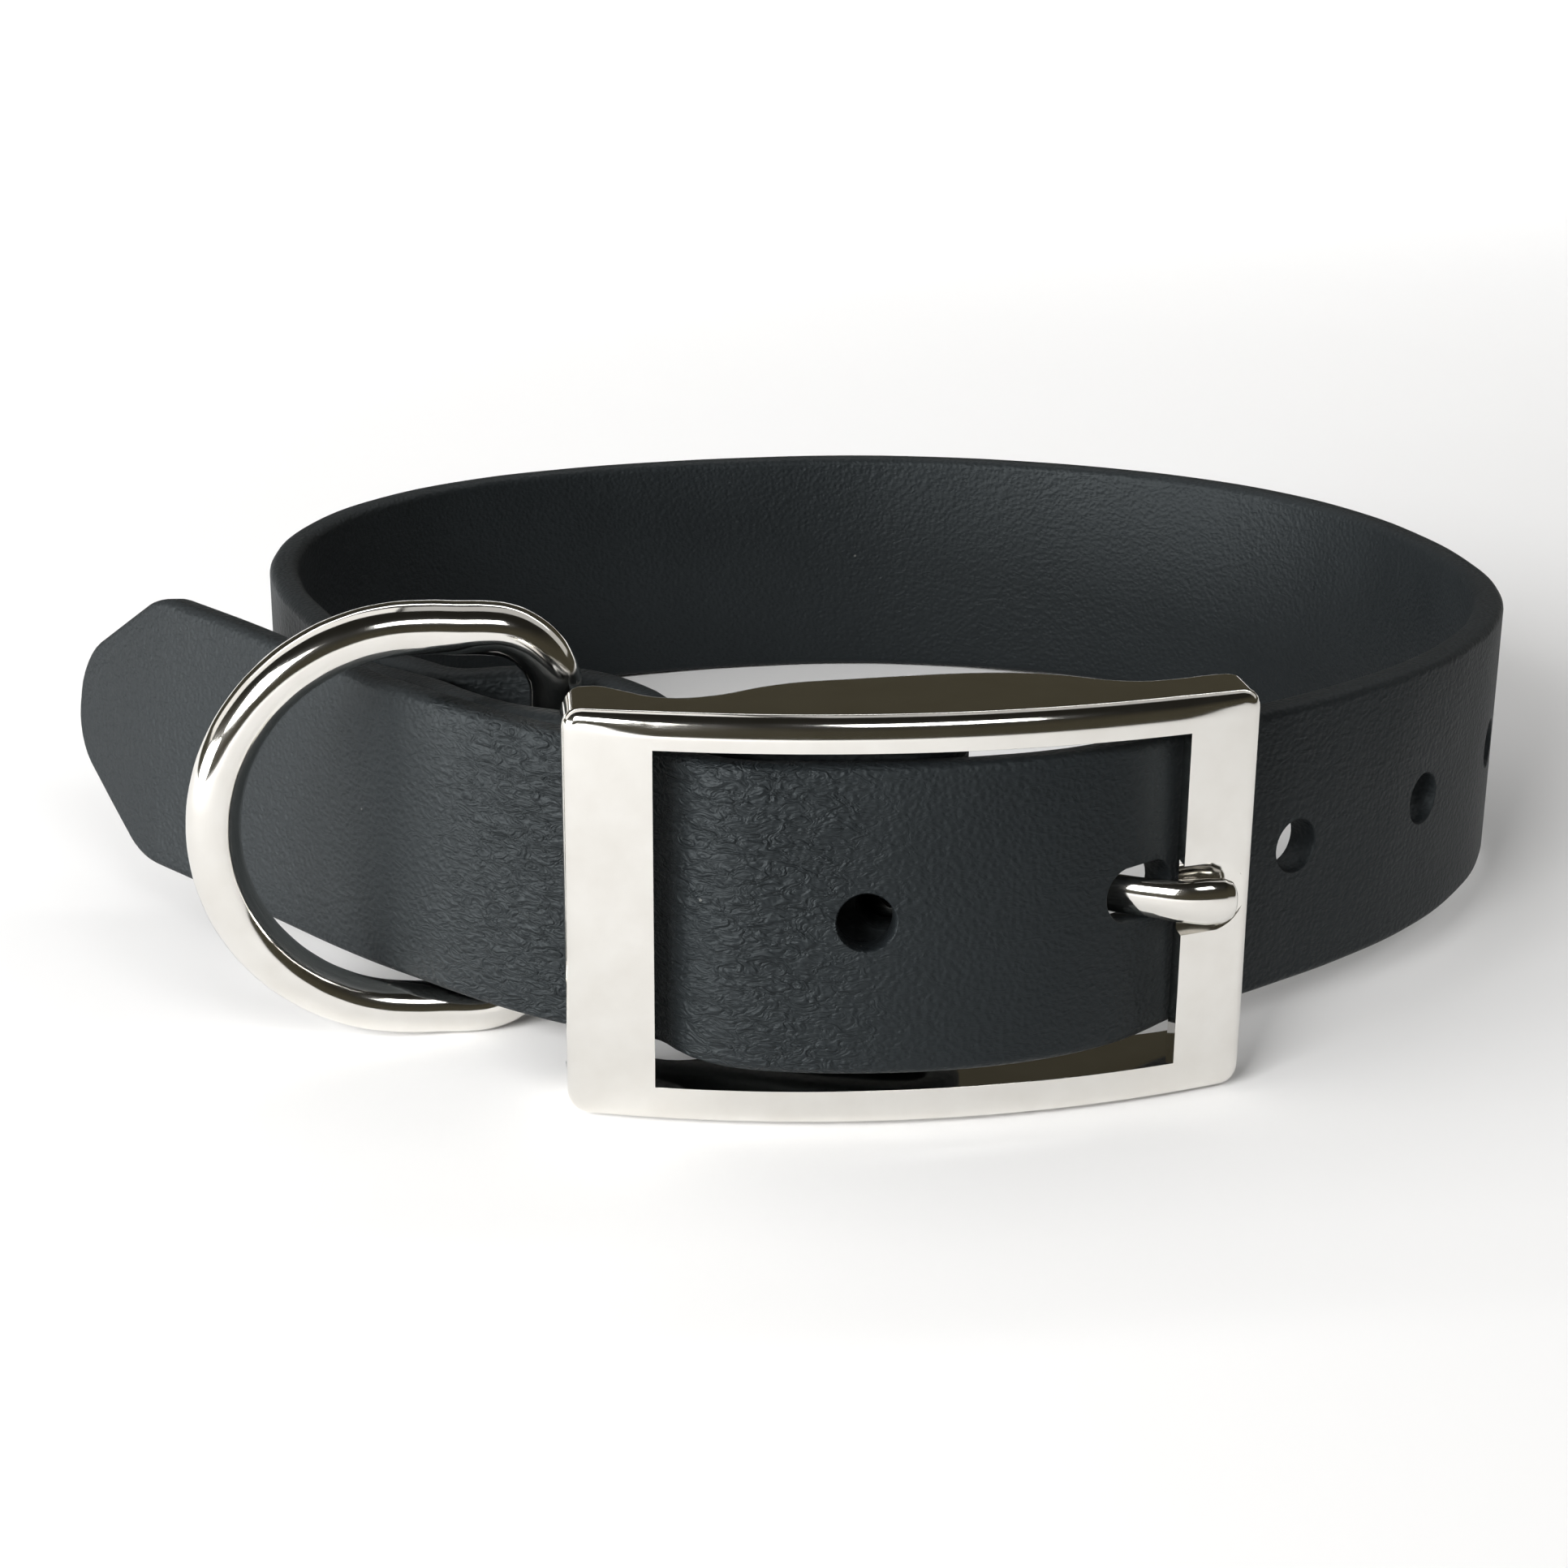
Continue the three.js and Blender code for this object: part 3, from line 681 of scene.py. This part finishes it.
# columns of faces let the plate bow and the rails' back edge wave
column_step = 0.0009
columns = int(2 * buckle_half / column_step)
for i in range(1, columns):
    bpy.ops.mesh.select_all(action="SELECT")
    x = -buckle_half + 2 * buckle_half * i / columns
    bpy.ops.mesh.bisect(plane_co=(x, 0, 0), plane_no=(1, 0, 0))
bpy.ops.mesh.select_all(action="SELECT")
bpy.ops.mesh.remove_doubles(threshold=0.00001)
bpy.ops.object.mode_set(mode="OBJECT")
for vertex in frame_piece.data.vertices:
    at_back = vertex.co.y > buckle_cheek - outer_edge - touching
    in_front = vertex.co.y < buckle_plate + touching
    if at_back:
        vertex.co.y += rail_depth(vertex.co.x) - buckle_cheek
    if in_front:
        up = max(vertex.co.z - rounding_low, 0) / rounding_height
        front_share = max(1 - vertex.co.y / buckle_plate, 0)
        from_end = min(max((buckle_half - abs(vertex.co.x)) / buckle_left_bar, 0), 1)
        rounded = rounding_depth * up**rounding_power * front_share * from_end
        vertex.co.y += bow_at(vertex.co.x) + rounded

bar_length = window_high - window_low + buckle_rail
centre_bar = start_piece(
    bpy.ops.mesh.primitive_cylinder_add, centre=(0, bar_y, (window_high + window_low) / 2),
    vertices=32, radius=bar_radius, depth=bar_length,
)
bpy.ops.object.mode_set(mode="OBJECT")
clear_selection()
centre_bar.select_set(True)
frame_piece.select_set(True)
bpy.context.view_layer.objects.active = frame_piece
bpy.ops.object.join()

# the round-ended rest for the tongue's tip, sunk into the right bar
tongue_below_middle = 0.0005
tongue_height = strap_width / 2 - tongue_below_middle
tongue_width = 0.0035
tongue_thick = 0.0019
notch_play = 0.001
notch_margin = 0.0006
notch_depth = 0.0015
tongue_head_half = 0.57 * tongue_width
notch_half = tongue_head_half + notch_play
notch_end = buckle_half - notch_margin
notch_floor = bow_at(window_right) + notch_depth
notch_reach = 0.02
notch_spread = (notch_end - window_right + notch_half) / 2
notch_middle = notch_end - notch_half - notch_spread
rest = cutter(
    notch_half, 2 * notch_reach, (notch_middle, notch_floor - notch_reach, tongue_height),
    notch_spread, flare=0.00001,
)
cut(frame_piece, [rest])
settle(frame_piece, "buckle_frame_plated", seat, smooth=30)
apply_modifier(frame_piece, "WEIGHTED_NORMAL", keep_sharp=True)

# bright plating: mirror smooth, a little warm, with a faint unevenness and hair scratches
nickel_dark = (0.77, 0.748, 0.705, 1)
nickel_light = (0.825, 0.808, 0.77, 1)
scratch_height = 0.06
ripple_depth = 0.00002
plating_roughness = 0.07
plating = Finish("bright_nickel", Metallic=1.0, IOR=1.5)
here = plating.node("ShaderNodeTexCoord", {}, {})["Object"]
breath = plating.node(
    "ShaderNodeTexNoise", {}, {"Vector": here, "Scale": 260.0, "Detail": 3.0, "Roughness": 0.6}
)["Fac"]
swell = plating.node(
    "ShaderNodeTexNoise", {}, {"Vector": here, "Scale": 110.0, "Detail": 1.0, "Roughness": 0.5}
)["Fac"]
drawn = plating.node(
    "ShaderNodeMapping", {}, {"Vector": here, "Scale": (500, 3000, 9000)}
)["Vector"]
scratch = plating.node(
    "ShaderNodeTexNoise", {}, {"Vector": drawn, "Scale": 1.0, "Detail": 2.0, "Roughness": 0.7}
)["Fac"]
uneven = swell + scratch * scratch_height
ripple = plating.node(
    "ShaderNodeBump", {}, {"Strength": 0.25, "Distance": ripple_depth, "Height": uneven}
)["Normal"]
tint = plating.node("ShaderNodeValToRGB", {}, {"Fac": breath})["Color"]
ramp = tint.socket.node.color_ramp
ramp.elements[0].position = 0.3
ramp.elements[0].color = nickel_dark
ramp.elements[1].position = 0.7
ramp.elements[1].color = nickel_light
plating.paint(Base_Color=tint, Roughness=plating_roughness + breath * 0.05, Normal=ripple)
plating.dress(frame_piece)
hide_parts("buckle_frame")
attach(frame_piece, "collar")

# Buckle tongue
# A plated prong: bent round the centre bar, straight behind the strap, out through the
# strap's stretched hole, and broad where it lies in its rest.
tongue_turn = bar_radius + easing + tongue_thick / 2
tongue_short = 0.0012
tongue_end = notch_end - tongue_short
tongue_rest = notch_floor - 0.75 * tongue_thick - easing

# share of its reach, how far out it has come, and its breadth, along its straight part
tongue_run = [
    (0.129, 0, 1), (0.322, -0.03, 1), (0.492, -0.03, 0.97), (0.621, 0.18, 0.92),
    (0.727, 0.59, 0.94), (0.826, 0.93, 1.04), (0.9, 1, 1.15), (0.955, 0.98, 1.1),
    (0.983, 0.95, 0.92), (0.997, 0.93, 0.6), (1.0, 0.93, 0.25),
]
turn_start = math.radians(8)
turn_sweep = math.radians(262)
bend_steps = 14
stations = []
for i in range(bend_steps + 1):
    angle = turn_start + turn_sweep * i / bend_steps
    x = tongue_turn * math.cos(angle)
    stations.append((x, bar_y + tongue_turn * math.sin(angle), 1.0 if i else 0.6))
for reach, out, broad in tongue_run:
    stations.append((reach * tongue_end, lerp(bar_y - tongue_turn, tongue_rest, out), broad))


def wire_piece(name, points, radius, closed=False, sides=7):
    """Round wire along the points, each x, y, z and share of the radius, as a mesh."""
    curve = bpy.data.curves.new(name, "CURVE")
    curve.dimensions = "3D"
    curve.resolution_u = 8
    curve.bevel_depth = radius
    curve.bevel_resolution = sides
    curve.use_fill_caps = not closed
    line = curve.splines.new("BEZIER")
    line.bezier_points.add(len(points) - 1)
    line.use_cyclic_u = closed
    for point, (x, y, z, share) in zip(line.bezier_points, points):
        point.co = (x, y, z)
        point.radius = share
        point.handle_left_type = "AUTO"
        point.handle_right_type = "AUTO"
    piece = bpy.data.objects.new(name, curve)
    bpy.context.scene.collection.objects.link(piece)
    clear_selection()
    piece.select_set(True)
    bpy.context.view_layer.objects.active = piece
    bpy.ops.object.convert(target="MESH")
    piece = bpy.context.object
    bpy.ops.object.mode_set(mode="EDIT")
    bpy.ops.mesh.select_all(action="SELECT")
    bpy.ops.mesh.remove_doubles(threshold=0.000002)
    bpy.ops.mesh.normals_make_consistent(inside=False)
    bpy.ops.object.mode_set(mode="OBJECT")
    return piece


tongue = wire_piece("tongue", [(x, y, 0, broad) for x, y, broad in stations], tongue_thick / 2)
broaden = Matrix.Scale(tongue_width / tongue_thick, 4, (0, 0, 1))
tongue.data.transform(Matrix.Translation((0, 0, tongue_height)) @ broaden)
settle(tongue, "buckle_tongue_plated", seat, smooth=60)
plating.dress(tongue)
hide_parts("buckle_tongue")
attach(tongue, "collar")

# D-ring
# Round plated wire bent to a D and welded: a straight bar held in the strap's fold, two
# rounded corners, short legs and a half-round that stands out from the strap.
ring_half = strap_width / 2 + ring_play + wire_radius
ring_leg = 0.0112
ring_corner = 0.006
ring_swing = math.radians(6.5)
ring_rise = math.radians(4)
arc_steps = 16
corner_steps = 6
upper = [(0.0, 0.0, 0.0, 1.0), (0.0, 0.0, (ring_half - ring_corner) / 2, 1.0)]
for i in range(corner_steps + 1):
    angle = math.pi - math.pi / 2 * i / corner_steps
    out = ring_corner + ring_corner * math.cos(angle)
    upper.append((out, 0.0, ring_half - ring_corner + ring_corner * math.sin(angle), 1.0))
upper.append(((ring_corner + ring_leg) / 2, 0.0, ring_half, 1.0))
arc = []
for i in range(arc_steps + 1):
    angle = math.pi / 2 - math.pi * i / arc_steps
    arc.append((ring_leg + ring_half * math.cos(angle), 0.0, ring_half * math.sin(angle), 1.0))
lower = [(out, y, -up, share) for out, y, up, share in upper[1:]][::-1]
ring = wire_piece("ring", upper + arc + lower, wire_radius, closed=True)
outward = Matrix.Rotation(math.pi + ring_swing, 4, "Z") @ Matrix.Rotation(-ring_rise, 4, "Y")
ring.data.transform(Matrix.Translation((ring_x, ring_y, 0)) @ outward)
settle(ring, "d_ring_plated", seat, smooth=60)

# it hangs in the fold until its half-round stands on the floor
lowest = min(vertex.co.z for vertex in ring.data.vertices)
drop = Matrix.Translation((0, 0, -lowest / math.cos(tip_up)))
ring.data.transform(seat @ drop @ seat.inverted())
plating.dress(ring)
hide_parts("d_ring")
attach(ring, "ring")

# Rivets
# Two plain plated posts with low heads, through both layers of the fold either side of the
# ring. The solids' own shape is right, so they only get rounded edges and their plating.
for name in ("rivet_beyond_ring", "rivet_near_buckle"):
    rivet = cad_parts[name]
    weld = rivet.modifiers.new("weld", "WELD")
    weld.merge_threshold = 0.00001
    soften = rivet.modifiers.new("soften", "BEVEL")
    soften.width = 0.0002
    soften.segments = 3
    soften.limit_method = "ANGLE"
    soften.angle_limit = math.radians(40)
    plating.dress(rivet)

# Floor, light and camera
# A pale, matt card floor, soft lights at the left front, in front, high at both sides and
# behind, and the camera low in front and a little to the left of the buckle.
clear_selection()
bpy.ops.mesh.primitive_plane_add(size=8)
floor = bpy.context.object
floor.name = "floor"
card_dark = (0.86, 0.86, 0.865, 1)
card_light = (0.88, 0.88, 0.88, 1)
card = Finish("pale_card", Roughness=0.95, Specular_IOR_Level=0.0)
here = card.node("ShaderNodeTexCoord", {}, {})["Object"]
mottle = card.node("ShaderNodeTexNoise", {}, {"Vector": here, "Scale": 12.0, "Detail": 2.0})["Fac"]
shade = card.node("ShaderNodeValToRGB", {}, {"Fac": mottle})["Color"]
ramp = shade.socket.node.color_ramp
ramp.elements[0].color = card_dark
ramp.elements[1].color = card_light
card.paint(Base_Color=shade)
card.dress(floor)


def soft_light(name, place, aim, size, power, colour=(1, 1, 1)):
    """A soft box at its place, turned to face its aim."""
    lamp = bpy.data.lights.new(name, "AREA")
    lamp.shape = "RECTANGLE"
    lamp.size, lamp.size_y = size
    lamp.energy = power
    lamp.color = colour
    light = bpy.data.objects.new(name, lamp)
    light.location = place
    light.rotation_euler = (Vector(aim) - Vector(place)).to_track_quat("-Z", "Y").to_euler()
    bpy.context.scene.collection.objects.link(light)


daylight = (1.0, 0.995, 0.985)
warm_light = (1.0, 0.985, 0.965)
soft_light(
    "key", place=(-0.54, -0.64, 0.43), aim=(0, 0, 0.01), size=(0.45, 0.35), power=9.5,
    colour=daylight,
)
soft_light(
    "low_left", place=(-0.85, -0.28, 0.115), aim=(0, 0, 0.01), size=(0.55, 0.14), power=9,
)
soft_light(
    "front_wash", place=(0.25, -0.95, 0.9), aim=(0.05, -0.35, 0), size=(0.5, 0.3), power=3.4,
)
soft_light(
    "left_high", place=(-0.8, 0.45, 0.95), aim=(0, 0.45, 0), size=(0.7, 2.0), power=4.6,
    colour=warm_light,
)
soft_light(
    "right_high", place=(0.8, 0.45, 0.95), aim=(0, 0.4, 0), size=(0.7, 2.0), power=2.3,
    colour=warm_light,
)
soft_light("back_wash", place=(0, 0.88, 0.98), aim=(0, 1.68, 0), size=(2.4, 0.8), power=32)

# the room around is dark and warm, darkest overhead
room_low = (0.056, 0.05, 0.034, 1)
room_high = (0.016, 0.015, 0.012, 1)
world = bpy.data.worlds.new("studio")
world.use_nodes = True
nodes = world.node_tree.nodes
links = world.node_tree.links
towards = nodes.new("ShaderNodeTexCoord")
parts = nodes.new("ShaderNodeSeparateXYZ")
room = nodes.new("ShaderNodeValToRGB")
room.color_ramp.elements[0].position = 0.25
room.color_ramp.elements[0].color = room_low
room.color_ramp.elements[1].position = 0.6
room.color_ramp.elements[1].color = room_high
links.new(towards.outputs["Generated"], parts.inputs["Vector"])
links.new(parts.outputs["Z"], room.inputs["Fac"])
links.new(room.outputs["Color"], nodes["Background"].inputs["Color"])
bpy.context.scene.world = world
bpy.context.scene.view_settings.view_transform = "Standard"

lens = bpy.data.cameras.new("camera")
lens.sensor_width = 36
lens.lens = 61.95
camera = bpy.data.objects.new("camera", lens)
camera_place = Vector((-0.03156, -0.2466, 0.1057))
camera_turn = math.radians(7.123)
camera_pitch = math.radians(21.607)
camera_roll = math.radians(0.794)
camera.matrix_world = (
    Matrix.Translation(camera_place)
    @ Matrix.Rotation(-camera_turn, 4, "Z")
    @ Matrix.Rotation(math.pi / 2 - camera_pitch, 4, "X")
    @ Matrix.Rotation(camera_roll, 4, "Z")
)
bpy.context.scene.collection.objects.link(camera)
bpy.context.scene.camera = camera
